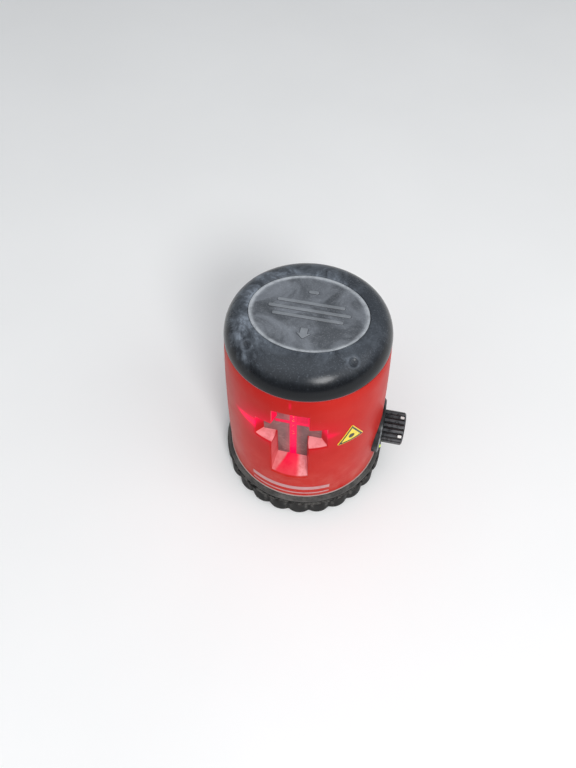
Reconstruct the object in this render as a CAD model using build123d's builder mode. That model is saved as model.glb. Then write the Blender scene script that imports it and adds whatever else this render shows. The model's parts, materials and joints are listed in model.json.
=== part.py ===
"""Self-levelling cross-line laser level on a swivel base.

Front is -Y, the lock knob is on +X and Z is the swivel axis. The origin is the
centre of the base's underside, at the mouth of the tripod thread. Millimetres.
"""

from build123d import *
from math import cos, radians, sin, sqrt
import os

os.makedirs("parts", exist_ok=True)

# ---- driving dimensions -------------------------------------------------------------
ring_r = 43.6              # crest of the grip ring's lobes
ring_lobes = 24
ring_inner_r = 40.6
ring_bottom_z = 0.6
ring_top_z = 12.4
underside_z = 0.4          # base plate's underside, above the rubber foot ring

body_bottom_z = 16.6       # red barrel, from here ...
seam_z = 101.7             # ... to the cap's seam
body_bottom_r = 40.4
seam_r = 37.0
wall = 2.4

crown_z = 114.5            # highest point of the cap
crown_half_x = 26.6        # oval rim of the cap's top
crown_half_y = 21.9
inlay_half_x = 26.0
inlay_half_y = 21.3
inlay_top_z = 113.9
inlay_bottom_z = 112.9
cap_wall = 2.2

hub_r = 14.0
hub_top_z = 14.6
tray_floor_z = 11.7
tray_top_z = 14.2
running = 0.05             # radial clearance of a shaft in its bore

pane_front_y = -32.0
pane_thickness = 1.5
frame_thickness = 1.5

knob_axis_z = 35.0
knob_r = 8.6
knob_start_x = 41.8
knob_end_x = 52.4
knob_flutes = 20
shaft_r = 3.0
plate_r = 14.5
plate_face_x = 41.3
plate_back_x = 35.6

gimbal_z = 92.0
gimbal_inner_r = 12.2
gimbal_outer_r = 15.5
gimbal_half_height = 4.0
pin_r = 1.5
bearing_r = 3.0
post_x = 17.7
post_thickness = 3.8

plate_z = 43.0             # chassis plate
plate_thickness = 3.0
leg_x = 19.5
leg_y = 12.0

cell_r = 7.1
cell_length = 50.0
cell_circle_r = 28.2
cell_spacing = 30.0        # degrees between neighbouring cells
cell_bottom_z = 24.0

door_half_width = 21.9
door_gap = 0.3
door_bottom_z = 22.3
door_top_z = 77.7
hinge_y = 42.2
hinge_z = 19.3
hinge_r = 1.5
hinge_pin_r = 0.75

UP = Align.MIN
MID = Align.CENTER
ALONG_X = (1, 0, 0)
ALONG_Y = (0, 1, 0)
ALONG_Z = (0, 0, 1)
through = 40.0             # long enough to cut right through a small piece

# ---- shapes that several pieces share -----------------------------------------------
barrel_height = seam_z - body_bottom_z
barrel_inset = body_bottom_r - seam_r
barrel_arc_r = (barrel_height**2 + barrel_inset**2) / (2 * barrel_inset)


def body_radius(z):
    """Outer radius of the red barrel at height z."""
    rise = z - body_bottom_z
    return body_bottom_r - barrel_arc_r + sqrt(barrel_arc_r**2 - rise**2)


def barrel_point(z, inset=0.0):
    """Point of the barrel's profile at height z, moved in by inset."""
    return (body_radius(z) - inset, z)


def around(radius, azimuth):
    """X and Y at this azimuth, counted from the front towards the knob."""
    turn = radians(azimuth)
    return (radius * sin(turn), -radius * cos(turn))


def cylinder(start, direction, radius, length, mode=Mode.ADD):
    """Cylinder from start along direction, added to the part being built."""
    with Locations(Plane(origin=start, z_dir=direction)):
        Cylinder(radius, length, align=(MID, MID, UP), mode=mode)


def bore(start, direction, radius, length):
    """Round hole from start along direction, cut from the part being built."""
    cylinder(start, direction, radius, length, mode=Mode.SUBTRACT)


def block(low, high, mode=Mode.ADD):
    """Box between two corners, added to the part being built."""
    middle = [(a + b) / 2 for a, b in zip(low, high)]
    size = [b - a for a, b in zip(low, high)]
    with Locations(tuple(middle)):
        Box(*size, mode=mode)


def tube(outer_r, inner_r, z_from, z_to, mode=Mode.ADD):
    """Upright ring round the Z axis, added to the part being built."""
    with BuildSketch(Plane.XY.offset(z_from)) as annulus:
        Circle(outer_r)
        Circle(inner_r, mode=Mode.SUBTRACT)
    extrude(annulus.sketch, amount=z_to - z_from, mode=mode)


def barrel_shell(z_from, z_to, outset, inset, mode=Mode.ADD):
    """Turned wall that follows the barrel's curve between two heights."""
    z_mid = (z_from + z_to) / 2
    with BuildSketch(Plane.XZ) as section:
        with BuildLine():
            ThreePointArc(*(barrel_point(z, -outset) for z in (z_from, z_mid, z_to)))
            Line(barrel_point(z_to, -outset), barrel_point(z_to, inset))
            ThreePointArc(*(barrel_point(z, inset) for z in (z_to, z_mid, z_from)))
            Line(barrel_point(z_from, inset), barrel_point(z_from, -outset))
        make_face()
    revolve(section.sketch, axis=Axis.Z, mode=mode)


def cross_outline(half_stem, half_arm, bottom, arm_bottom, arm_top, top):
    """Corners of the cross-shaped window, anticlockwise."""
    right = [(half_stem, bottom), (half_stem, arm_bottom), (half_arm, arm_bottom)]
    right += [(half_arm, arm_top), (half_stem, arm_top), (half_stem, top)]
    return right + [(-x, z) for x, z in reversed(right)]


def cross_prism(depth_outline, y_from, y_to, mode=Mode.ADD):
    """Cross-shaped plate between two Y positions, y_to nearer the front."""
    with BuildSketch(Plane.XZ.offset(-y_from)) as outline:
        Polygon(*depth_outline, align=None)
    extrude(outline.sketch, amount=y_from - y_to, mode=mode)


# Window funnel: narrow where it meets the pane, wide outside the barrel.
pane_cross = cross_outline(7.1, 13.4, 46.9, 66.6, 79.5, 86.5)
funnel_mouth_y = -41.0
mouth_cross = cross_outline(9.6, 23.2, 35.9, 64.4, 81.8, 94.2)


def grown(outline, margin):
    """The same cross with every side moved out by margin."""
    stem = outline[0][0] + margin
    arm = outline[2][0] + margin
    bottom = outline[0][1] - margin
    arm_bottom = outline[1][1] - margin
    arm_top = outline[3][1] + margin
    return cross_outline(stem, arm, bottom, arm_bottom, arm_top, outline[5][1] + margin)


def funnel(margin, mode=Mode.ADD):
    """Tapered cross from the pane's face out through the barrel."""
    with BuildSketch(Plane.XZ.offset(-pane_front_y)) as inner:
        Polygon(*grown(pane_cross, margin), align=None)
    with BuildSketch(Plane.XZ.offset(-funnel_mouth_y)) as outer:
        Polygon(*grown(mouth_cross, margin), align=None)
    loft([inner.sketch, outer.sketch], ruled=True, mode=mode)


# ---- swivel base --------------------------------------------------------------------
insert_r = 5.0
insert_length = 9.0
thread_r = 2.6
foot_outer_r = 36.0
foot_inner_r = 30.0
foot_top_z = 1.4
washer_outer_r = 22.0
washer_bottom_z = 11.2
washer_top_z = 11.6
retainer_r = 16.5
retainer_top_z = 16.0
retainer_screw_circle_r = 10.0
small_screw_r = 1.25
small_head_r = 2.3

with BuildPart() as base_plate:
    tube(ring_inner_r, insert_r, underside_z, 3.4)
    tube(ring_inner_r, ring_inner_r - 2.2, 3.4, 11.4)
    tube(washer_outer_r, hub_r, 3.4, washer_bottom_z)
    tube(hub_r, insert_r, 3.4, insert_length)
    cylinder((0, 0, insert_length), ALONG_Z, hub_r, hub_top_z - insert_length)
    with PolarLocations(0, 6):
        with Locations((30.2, 0, 6.4)):
            Box(17.4, 1.8, 6.4)
    tube(foot_outer_r, foot_inner_r, underside_z, foot_top_z, mode=Mode.SUBTRACT)
    with PolarLocations(retainer_screw_circle_r, 3):
        with Locations((0, 0, hub_top_z - 4.5)):
            Cylinder(small_screw_r, 4.5, align=(MID, MID, UP), mode=Mode.SUBTRACT)
base_plate.part.label = "base_plate"
export_step(base_plate.part, "parts/base_plate.step")

notch_r = 1.7
notch_circle_r = ring_r + 0.4
notch_top_z = 9.4
with BuildPart() as grip_ring:
    with BuildSketch(Plane.XZ):
        with BuildLine():
            Polyline(
                (ring_inner_r, ring_bottom_z),
                (ring_r - 0.7, ring_bottom_z),
                (ring_r, ring_bottom_z + 0.9),
                (ring_r, ring_top_z - 1.2),
                (ring_r - 0.9, ring_top_z),
                (ring_inner_r, ring_top_z),
                close=True,
            )
        make_face()
    revolve(axis=Axis.Z)
    with PolarLocations(notch_circle_r, ring_lobes, start_angle=-90):
        Cylinder(notch_r, notch_top_z, align=(MID, MID, UP), mode=Mode.SUBTRACT)
        with Locations((0, 0, notch_top_z)):
            Sphere(notch_r, mode=Mode.SUBTRACT)
grip_ring.part.label = "grip_ring"
export_step(grip_ring.part, "parts/grip_ring.step")

with BuildPart() as tripod_insert:
    tube(insert_r, thread_r, 0, insert_length)
    tube(insert_r, insert_r - 0.6, 3.6, 4.8, mode=Mode.SUBTRACT)
tripod_insert.part.label = "tripod_insert"
export_step(tripod_insert.part, "parts/tripod_insert.step")

with BuildPart() as foot_ring:
    tube(foot_outer_r, foot_inner_r, 0, foot_top_z)
    fillet(foot_ring.faces().sort_by(Axis.Z)[0].edges(), 0.35)
foot_ring.part.label = "foot_ring"
export_step(foot_ring.part, "parts/foot_ring.step")

with BuildPart() as turntable_washer:
    tube(washer_outer_r, hub_r + 0.4, washer_bottom_z, washer_top_z)
turntable_washer.part.label = "turntable_washer"
export_step(turntable_washer.part, "parts/turntable_washer.step")

with BuildPart() as retaining_plate:
    tube(retainer_r, 4.0, hub_top_z, retainer_top_z)
    with PolarLocations(retainer_screw_circle_r, 3):
        with Locations((0, 0, hub_top_z)):
            Cylinder(small_screw_r, 2, align=(MID, MID, UP), mode=Mode.SUBTRACT)
retaining_plate.part.label = "retaining_plate"
export_step(retaining_plate.part, "parts/retaining_plate.step")


def screws(places, head_z, tip_z, head_height=1.5):
    """Upright pan-head screws at these XY places, heads at head_z, tips at tip_z."""
    way = 1 if tip_z > head_z else -1
    for x, y in places:
        cylinder((x, y, head_z), (0, 0, -way), small_head_r, head_height)
        cylinder((x, y, head_z), (0, 0, way), small_screw_r, abs(tip_z - head_z))
        with Locations((x, y, head_z - way * head_height)):
            Box(3.0, 0.7, 1.0, mode=Mode.SUBTRACT)
            Box(0.7, 3.0, 1.0, mode=Mode.SUBTRACT)


retainer_places = [around(retainer_screw_circle_r, 90 + 120 * i) for i in range(3)]
with BuildPart() as retaining_screws:
    screws(retainer_places, retainer_top_z, hub_top_z - 4.5)
retaining_screws.part.label = "retaining_screws"
export_step(retaining_screws.part, "parts/retaining_screws.step")

# ---- barrel, tray and cap -----------------------------------------------------------
flange_r = 42.6
flange_bottom_z = 12.8
flange_top_z = 16.1
chassis_screw_places = [(sx * leg_x, sy * leg_y) for sx in (-1, 1) for sy in (-1, 1)]
boss_circle_r = 35.2
boss_azimuths = (-40, 40, -115, 115)
boss_places = [around(boss_circle_r, azimuth) for azimuth in boss_azimuths]
boss_r = 3.2
boss_top_z = 30.0
boss_pocket_z = 14.2       # the shell's bosses stand in pockets of the tray
screw_recess_z = 13.2      # heads sit flush in the tray's underside

with BuildPart() as bottom_tray:
    with BuildSketch(Plane.XZ):
        with BuildLine():
            Polyline(
                (hub_r + running, tray_floor_z),
                (40.2, tray_floor_z),
                (40.2, flange_bottom_z),
                (flange_r, flange_bottom_z),
                (flange_r, flange_top_z - 1.8),
                (flange_r - 1.3, flange_top_z),
                (37.7, flange_top_z),
                (37.7, 20.0),
                (35.9, 20.0),
                (35.9, tray_top_z),
                (hub_r + running, tray_top_z),
                close=True,
            )
        make_face()
    revolve(axis=Axis.Z)
    for place_x, place_y in boss_places:
        bore((place_x, place_y, boss_pocket_z), ALONG_Z, boss_r + 0.2, through)
    for place_x, place_y in boss_places + chassis_screw_places:
        below = (place_x, place_y, screw_recess_z - 3)
        bore(below, ALONG_Z, small_head_r + 0.1, 3)
        bore(below, ALONG_Z, small_screw_r, through)
bottom_tray.part.label = "bottom_tray"
export_step(bottom_tray.part, "parts/bottom_tray.step")

with BuildPart() as trim_line:
    tube(body_bottom_r + 0.35, 38.2, flange_top_z, body_bottom_z)
trim_line.part.label = "trim_line"
export_step(trim_line.part, "parts/trim_line.step")

seal_height = 0.3
shell_top_z = seam_z - seal_height
knuckle_inner = 4.5
knuckle_outer = 9.0
with BuildPart() as housing_shell:
    # Solid funnel walls, trimmed to the barrel, then the turned wall round them.
    funnel(1.8)
    with BuildSketch(Plane.XZ):
        with BuildLine():
            barrel_heights = (body_bottom_z, (body_bottom_z + shell_top_z) / 2, shell_top_z)
            ThreePointArc(*(barrel_point(z) for z in barrel_heights))
            Polyline(barrel_point(shell_top_z), (0, shell_top_z))
            Polyline((0, shell_top_z), (0, body_bottom_z))
            Polyline((0, body_bottom_z), barrel_point(body_bottom_z))
        make_face()
    revolve(axis=Axis.Z, mode=Mode.INTERSECT)
    barrel_shell(body_bottom_z, shell_top_z, 0, wall)
    for place_x, place_y in boss_places:
        foot = (place_x, place_y, body_bottom_z)
        cylinder(foot, ALONG_Z, boss_r, boss_top_z - body_bottom_z)
        bore(foot, ALONG_Z, small_screw_r, 9)
    funnel(0, mode=Mode.SUBTRACT)
    # Round hole for the side plate and the opening behind the battery door.
    bore((30, 0, knob_axis_z), ALONG_X, plate_r, 15)
    block(
        (-door_half_width - door_gap, 20, door_bottom_z - door_gap),
        (door_half_width + door_gap, 50, door_top_z + door_gap),
        mode=Mode.SUBTRACT,
    )
    for side in (-1, 1):
        near = min(side * knuckle_inner, side * knuckle_outer)
        knuckle_length = knuckle_outer - knuckle_inner
        cylinder((near, hinge_y, hinge_z), ALONG_X, hinge_r, knuckle_length)
        block(
            (near, 39.0, hinge_z - hinge_r),
            (near + knuckle_length, hinge_y, hinge_z + 0.4),
        )
    bore((-knuckle_outer, hinge_y, hinge_z), ALONG_X, hinge_pin_r, 2 * knuckle_outer)
housing_shell.part.label = "housing_shell"
export_step(housing_shell.part, "parts/housing_shell.step")

with BuildPart() as cap_seal:
    tube(seam_r - 0.25, 34.8, shell_top_z, seam_z)
cap_seal.part.label = "cap_seal"
export_step(cap_seal.part, "parts/cap_seal.step")

dome_steps = 6
lip_outer_r = 34.4
lip_inner_r = 32.8
lip_bottom_z = 98.0
inner_crown_z = 111.4
dimple_azimuths = (-45, 47)
dimple_sphere_r = 2.6
dimple_lift = 1.5          # height of the cutting sphere's centre above the dome
dimple_slope = 60          # how far up the dome's quarter arc they are, in degrees


def dome(base_r, top_x, top_y, base_z, top_z, mode=Mode.ADD):
    """Dome whose plan turns from a circle at its foot to an oval at its top."""
    sections = []
    for step in range(dome_steps + 1):
        turn = radians(90 * step / dome_steps)
        half_x = top_x + (base_r - top_x) * cos(turn)
        half_y = top_y + (base_r - top_y) * cos(turn)
        height = base_z + (top_z - base_z) * sin(turn)
        with BuildSketch(Plane.XY.offset(height)) as section:
            Ellipse(half_x, half_y)
        sections.append(section.sketch)
    loft(sections, mode=mode)


def dimple_centre(azimuth):
    """Centre of the sphere that cuts a dimple into the cap's shoulder."""
    slope = radians(dimple_slope)
    half_x = crown_half_x + (seam_r - crown_half_x) * cos(slope)
    half_y = crown_half_y + (seam_r - crown_half_y) * cos(slope)
    across, ahead = around(1, azimuth)
    radius = 1 / sqrt((across / half_x)**2 + (ahead / half_y)**2)
    centre_x, centre_y = around(radius + dimple_lift * cos(slope), azimuth)
    surface_z = seam_z + (crown_z - seam_z) * sin(slope)
    return (centre_x, centre_y, surface_z + dimple_lift * sin(slope))


with BuildPart() as top_cap:
    dome(seam_r, crown_half_x, crown_half_y, seam_z, crown_z)
    for azimuth in dimple_azimuths:
        with Locations(dimple_centre(azimuth)):
            Sphere(dimple_sphere_r, mode=Mode.SUBTRACT)
    dome(seam_r - cap_wall, 24.2, 19.5, seam_z, inner_crown_z, mode=Mode.SUBTRACT)
    with BuildSketch(Plane.XY.offset(inlay_bottom_z)):
        Ellipse(inlay_half_x, inlay_half_y)
    extrude(amount=crown_z - inlay_bottom_z + 1, mode=Mode.SUBTRACT)
    tube(seam_r - cap_wall + 0.6, lip_inner_r, seam_z, seam_z + 1.6)
    tube(lip_outer_r, lip_inner_r, lip_bottom_z, seam_z)
top_cap.part.label = "top_cap"
export_step(top_cap.part, "parts/top_cap.step")

inlay_rim = 1.5            # raised rim round the inlay
relief = 0.3

with BuildPart() as cap_inlay:
    with BuildSketch(Plane.XY.offset(inlay_bottom_z)):
        Ellipse(inlay_half_x - 0.1, inlay_half_y - 0.1)
    extrude(amount=inlay_top_z - inlay_bottom_z)
    with BuildSketch(Plane.XY.offset(inlay_top_z)):
        Ellipse(inlay_half_x - 0.1, inlay_half_y - 0.1)
        Ellipse(inlay_half_x - inlay_rim, inlay_half_y - inlay_rim, mode=Mode.SUBTRACT)
    extrude(amount=relief)
    # Moulded arrow that points to the side the light leaves by.
    with BuildSketch(Plane.XY.offset(inlay_top_z)):
        arrow = [(0, -14.5), (3.0, -11.5), (1.7, -11.5), (1.7, -9.0)]
        Polygon(*arrow, *((-x, y) for x, y in reversed(arrow[1:])), align=None)
    extrude(amount=relief)
    with BuildSketch(Plane.XY.offset(inlay_top_z)):
        for bar_y, bar_length in ((5.0, 30.0), (1.0, 36.0), (-3.0, 31.0)):
            with Locations((0, bar_y)):
                SlotOverall(bar_length, 1.5)
    extrude(amount=relief)
cap_inlay.part.label = "cap_inlay"
export_step(cap_inlay.part, "parts/cap_inlay.step")

# ---- window, labels and stripes -----------------------------------------------------
with BuildPart() as window_pane:
    cross_prism(grown(pane_cross, 1.2), pane_front_y + pane_thickness, pane_front_y)
window_pane.part.label = "window_pane"
export_step(window_pane.part, "parts/window_pane.step")

frame_front_y = pane_front_y + pane_thickness
frame_back_y = frame_front_y + frame_thickness
with BuildPart() as pane_frame:
    cross_prism(grown(pane_cross, 2.0), frame_back_y, frame_front_y)
    cross_prism(grown(pane_cross, -0.6), frame_back_y, frame_front_y, mode=Mode.SUBTRACT)
pane_frame.part.label = "pane_frame"
export_step(pane_frame.part, "parts/pane_frame.step")

label_azimuth = 42.6
label_centre_z = 69.1
label_side = 14.8
label_thickness = 0.2
label_x, label_y = around(30, label_azimuth)
label_normal = (sin(radians(label_azimuth)), -cos(radians(label_azimuth)), 0)
label_plane = Plane(
    origin=(label_x, label_y, label_centre_z),
    x_dir=(cos(radians(label_azimuth)), sin(radians(label_azimuth)), 0),
    z_dir=label_normal,
)

with BuildPart() as hazard_label:
    barrel_shell(60, 82, label_thickness, 0)
    with BuildSketch(label_plane) as label_outline:
        RegularPolygon(label_side / sqrt(3), 3, rotation=90)
        fillet(label_outline.vertices(), 0.7)
    extrude(amount=15, mode=Mode.INTERSECT)
hazard_label.part.label = "hazard_label"
export_step(hazard_label.part, "parts/hazard_label.step")

border_outer = label_side - 1.5
border_inner = label_side - 4.2
symbol_thickness = 0.1
with BuildPart() as hazard_symbol:
    barrel_shell(60, 82, label_thickness + symbol_thickness, -label_thickness)
    with BuildSketch(label_plane):
        RegularPolygon(border_outer / sqrt(3), 3, rotation=90)
        RegularPolygon(border_inner / sqrt(3), 3, rotation=90, mode=Mode.SUBTRACT)
        Circle(1.5)
    extrude(amount=15, mode=Mode.INTERSECT)
hazard_symbol.part.label = "hazard_symbol"
export_step(hazard_symbol.part, "parts/hazard_symbol.step")

stripe_azimuth = 29.5
with BuildPart() as front_stripe:
    barrel_shell(24.0, 27.2, 0.12, 0)
    barrel_shell(19.4, 20.6, 0.12, 0)
    with BuildSketch(Plane.XY.offset(17)):
        Polygon((0, 0), around(60, -stripe_azimuth), around(60, stripe_azimuth), align=None)
    extrude(amount=12, mode=Mode.INTERSECT)
front_stripe.part.label = "front_stripe"
export_step(front_stripe.part, "parts/front_stripe.step")

# ---- side plate and its lamp --------------------------------------------------------
bushing_r = 5.0
lamp_y = -9.2
lamp_z = 29.3
lamp_r = 1.1
plate_screw_places = ((-12.2, 31.8), (12.2, 38.2))

with BuildPart() as side_plate:
    cylinder((plate_back_x, 0, knob_axis_z), ALONG_X, plate_r - 0.05, plate_face_x - plate_back_x)
    chamfer(side_plate.faces().sort_by(Axis.X)[-1].edges(), 0.8)
    bore((plate_back_x, 0, knob_axis_z), ALONG_X, bushing_r, 10)
    bore((plate_face_x - 0.5, 0, knob_axis_z), ALONG_X, knob_r + 0.6, 2)
    bore((plate_back_x, lamp_y, lamp_z), ALONG_X, lamp_r, 10)
    for screw_y, screw_z in plate_screw_places:
        bore((plate_face_x - 2.4, screw_y, screw_z), ALONG_X, 1.1, 5)
side_plate.part.label = "side_plate"
export_step(side_plate.part, "parts/side_plate.step")

with BuildPart() as plate_screws:
    for screw_y, screw_z in plate_screw_places:
        cylinder((plate_face_x - 2.4, screw_y, screw_z), ALONG_X, 1.05, 1.2)
        block(
            (plate_face_x - 1.6, screw_y - 0.9, screw_z - 0.2),
            (plate_face_x - 1.0, screw_y + 0.9, screw_z + 0.2),
            mode=Mode.SUBTRACT,
        )
plate_screws.part.label = "plate_screws"
export_step(plate_screws.part, "parts/plate_screws.step")

with BuildPart() as led_lens:
    cylinder((plate_back_x, lamp_y, lamp_z), ALONG_X, lamp_r, plate_face_x - plate_back_x)
    with Locations((plate_face_x, lamp_y, lamp_z)):
        Sphere(lamp_r)
led_lens.part.label = "led_lens"
export_step(led_lens.part, "parts/led_lens.step")

seal_groove_x = plate_face_x - 2.4
with BuildPart() as shaft_bushing:
    cylinder((plate_back_x - 1.2, 0, knob_axis_z), ALONG_X, bushing_r, plate_face_x - plate_back_x + 1.0)
    cylinder((plate_back_x - 1.2, 0, knob_axis_z), ALONG_X, bushing_r + 1.4, 1.2)
    bore((plate_back_x - 2, 0, knob_axis_z), ALONG_X, shaft_r + running, 12)
    bore((seal_groove_x, 0, knob_axis_z), ALONG_X, 4.4, 1.6)
shaft_bushing.part.label = "shaft_bushing"
export_step(shaft_bushing.part, "parts/shaft_bushing.step")

with BuildPart() as shaft_seal:
    with Locations(Plane(origin=(seal_groove_x + 0.8, 0, knob_axis_z), z_dir=ALONG_X)):
        Torus(3.72, 0.64)
shaft_seal.part.label = "shaft_seal"
export_step(shaft_seal.part, "parts/shaft_seal.step")

# ---- lock knob, shaft and cam -------------------------------------------------------
cam_low_r = 4.0
cam_lift = 3.0
cam_half_width = 3.0
shaft_start_x = -5.0
shaft_end_x = 49.8
mark_angles = (30, 98)     # degrees round the knob, from the front towards the top

with BuildPart() as lock_knob:
    cylinder((knob_start_x, 0, knob_axis_z), ALONG_X, knob_r, knob_end_x - knob_start_x)
    chamfer(lock_knob.faces().sort_by(Axis.X)[-1].edges(), 0.6)
    with Locations(Plane(origin=(knob_start_x, 0, knob_axis_z), z_dir=ALONG_X)):
        with PolarLocations(knob_r + 0.1, knob_flutes):
            Cylinder(0.68, 20, mode=Mode.SUBTRACT)
    # Hollow behind, and a dished face with a finger bar across it.
    with BuildSketch(Plane.YZ.offset(knob_start_x)) as hollow:
        with Locations((0, knob_axis_z)):
            Circle(7.0)
            Circle(4.8, mode=Mode.SUBTRACT)
    extrude(hollow.sketch, amount=6.6, mode=Mode.SUBTRACT)
    with BuildSketch(Plane.YZ.offset(knob_end_x)) as dish:
        with Locations((0, knob_axis_z)):
            Circle(6.6)
            Rectangle(3.8, 14, mode=Mode.SUBTRACT)
    extrude(dish.sketch, amount=-1.3, mode=Mode.SUBTRACT)
    bore((knob_start_x, 0, knob_axis_z), ALONG_X, shaft_r, shaft_end_x - knob_start_x)
    bore((knob_start_x, 0, knob_axis_z), ALONG_X, small_screw_r, 20)
    bore((knob_end_x - 1.4, 0, knob_axis_z), ALONG_X, small_head_r - 0.6, 2)
lock_knob.part.label = "lock_knob"
export_step(lock_knob.part, "parts/lock_knob.step")

with BuildPart() as knob_shaft:
    cylinder((shaft_start_x, 0, knob_axis_z), ALONG_X, shaft_r, shaft_end_x - shaft_start_x)
    bore((shaft_end_x - 5, 0, knob_axis_z), ALONG_X, small_screw_r, 6)
knob_shaft.part.label = "knob_shaft"
export_step(knob_shaft.part, "parts/knob_shaft.step")

screw_tip_x = shaft_end_x - 5
screw_seat_x = knob_end_x - 1.4
with BuildPart() as knob_screw:
    cylinder((screw_tip_x, 0, knob_axis_z), ALONG_X, small_screw_r, screw_seat_x - screw_tip_x)
    cylinder((screw_seat_x, 0, knob_axis_z), ALONG_X, small_head_r - 0.6, 1.0)
    block(
        (screw_seat_x + 0.6, -1.2, knob_axis_z - 0.25),
        (knob_end_x, 1.2, knob_axis_z + 0.25),
        mode=Mode.SUBTRACT,
    )
knob_screw.part.label = "knob_screw"
export_step(knob_screw.part, "parts/knob_screw.step")

with BuildPart() as knob_marks:
    for angle in mark_angles:
        mark_y = -cos(radians(angle))
        mark_z = sin(radians(angle))
        mark_foot_r = knob_r - 0.5
        mark_plane = Plane(
            origin=(knob_end_x - 1.9, mark_foot_r * mark_y, knob_axis_z + mark_foot_r * mark_z),
            x_dir=ALONG_X,
            z_dir=(0, mark_y, mark_z),
        )
        with BuildSketch(mark_plane) as mark:
            RectangleRounded(1.9, 1.5, 0.4)
        extrude(mark.sketch, amount=0.7)
    with BuildSketch(Plane.YZ.offset(knob_start_x)) as knob_core:
        with Locations((0, knob_axis_z)):
            Circle(knob_r)
    extrude(knob_core.sketch, amount=knob_end_x - knob_start_x, mode=Mode.SUBTRACT)
knob_marks.part.label = "knob_marks"
export_step(knob_marks.part, "parts/knob_marks.step")


def cam_point(angle):
    """Cam outline: its radius falls evenly from the lobe to the low circle in 90 degrees."""
    share = min(max((90 - angle) / 90, 0), 1)
    radius = cam_low_r + cam_lift * share
    return (radius * cos(radians(angle)), radius * sin(radians(angle)))


cam_plane = Plane(origin=(-cam_half_width, 0, knob_axis_z), x_dir=(0, 1, 0), z_dir=ALONG_X)
with BuildPart() as lock_cam:
    with BuildSketch(cam_plane):
        with BuildLine():
            Spline(*(cam_point(angle) for angle in range(0, 91, 15)))
            ThreePointArc(cam_point(90), cam_point(200), cam_point(310))
            Line(cam_point(310), cam_point(-20))
            ThreePointArc(cam_point(-20), cam_point(-10), cam_point(0))
        make_face()
    extrude(amount=2 * cam_half_width)
    bore((-cam_half_width, 0, knob_axis_z), ALONG_X, shaft_r, 2 * cam_half_width)
lock_cam.part.label = "lock_cam"
export_step(lock_cam.part, "parts/lock_cam.step")

# ---- lock plunger -------------------------------------------------------------------
rib_bottom_z = knob_axis_z + cam_low_r + 0.45
rod_bottom_z = rib_bottom_z + 1.8
rod_r = 4.0
rod_top_z = 49.0
pad_r = 7.5
pad_thickness = 2.0

with BuildPart() as lock_plunger:
    block((-cam_half_width, -0.6, rib_bottom_z), (cam_half_width, 0.6, rod_bottom_z))
    cylinder((0, 0, rod_bottom_z), ALONG_Z, rod_r, rod_top_z - rod_bottom_z)
lock_plunger.part.label = "lock_plunger"
export_step(lock_plunger.part, "parts/lock_plunger.step")

with BuildPart() as plunger_pad:
    cylinder((0, 0, rod_top_z), ALONG_Z, pad_r, pad_thickness)
    chamfer(plunger_pad.edges().group_by(Axis.Z)[-1], 0.5)
plunger_pad.part.label = "plunger_pad"
export_step(plunger_pad.part, "parts/plunger_pad.step")

# ---- chassis ------------------------------------------------------------------------
chassis_half_x = 23.5
chassis_front_y = -16.0
chassis_back_y = 13.0
plate_top_z = plate_z + plate_thickness
leg_r = 3.0
bracket_half_x = 6.0
bracket_front_y = 17.0
bracket_back_y = 18.4
bracket_top_z = 60.0
magnet_depth = 3.2
board_x = -26.0
bearing_width = 2.6
post_bearing_x = post_x + 0.6

with BuildPart() as chassis:
    block((-chassis_half_x, chassis_front_y, plate_z), (chassis_half_x, chassis_back_y, plate_top_z))
    fillet(chassis.edges().filter_by(Axis.Z), 3)
    for place_x, place_y in chassis_screw_places:
        cylinder((place_x, place_y, tray_top_z), ALONG_Z, leg_r, plate_z - tray_top_z + 1)
        bore((place_x, place_y, tray_top_z), ALONG_Z, small_screw_r, 8)
    # Guide for the plunger, inner bearing of the knob shaft, tab that holds the board.
    cylinder((0, 0, plate_z), ALONG_Z, rod_r + 2.5, plate_thickness + 1.5)
    bore((0, 0, plate_z), ALONG_Z, rod_r + running, 6)
    block((11, -6, knob_axis_z - 5.5), (15, 6, plate_z))
    bore((10, 0, knob_axis_z), ALONG_X, shaft_r + running, 6)
    block((board_x, -4, plate_z), (-chassis_half_x, 4, plate_top_z))
    # Bracket behind the pendulum for the damping magnets.
    block((-bracket_half_x, chassis_back_y, plate_z), (bracket_half_x, bracket_back_y, plate_top_z))
    block((-bracket_half_x, bracket_front_y, plate_z), (bracket_half_x, bracket_back_y, bracket_top_z))
    # Two posts that carry the gimbal's bearings.
    for side in (-1, 1):
        near = min(side * post_x, side * (post_x + post_thickness))
        block((near, -4.5, plate_z), (near + post_thickness, 4.5, gimbal_z))
        cylinder((near, 0, gimbal_z), ALONG_X, 4.5, post_thickness)
        pocket = min(side * post_x, side * (post_bearing_x + bearing_width))
        bore((pocket, 0, gimbal_z), ALONG_X, bearing_r, bearing_width + 0.6)
chassis.part.label = "chassis"
export_step(chassis.part, "parts/chassis.step")

with BuildPart() as chassis_screws:
    screws(chassis_screw_places, screw_recess_z, 22)
chassis_screws.part.label = "chassis_screws"
export_step(chassis_screws.part, "parts/chassis_screws.step")

with BuildPart() as housing_screws:
    screws(boss_places, screw_recess_z, 25)
housing_screws.part.label = "housing_screws"
export_step(housing_screws.part, "parts/housing_screws.step")


def bearing(start, direction):
    """Ring of a small bearing with running clearance on its pin."""
    with BuildSketch(Plane(origin=start, z_dir=direction)) as race:
        Circle(bearing_r)
        Circle(pin_r + running, mode=Mode.SUBTRACT)
    extrude(race.sketch, amount=bearing_width)


with BuildPart() as post_bearings:
    for side in (-1, 1):
        bearing((side * post_bearing_x, 0, gimbal_z), (side, 0, 0))
post_bearings.part.label = "post_bearings"
export_step(post_bearings.part, "parts/post_bearings.step")

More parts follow.
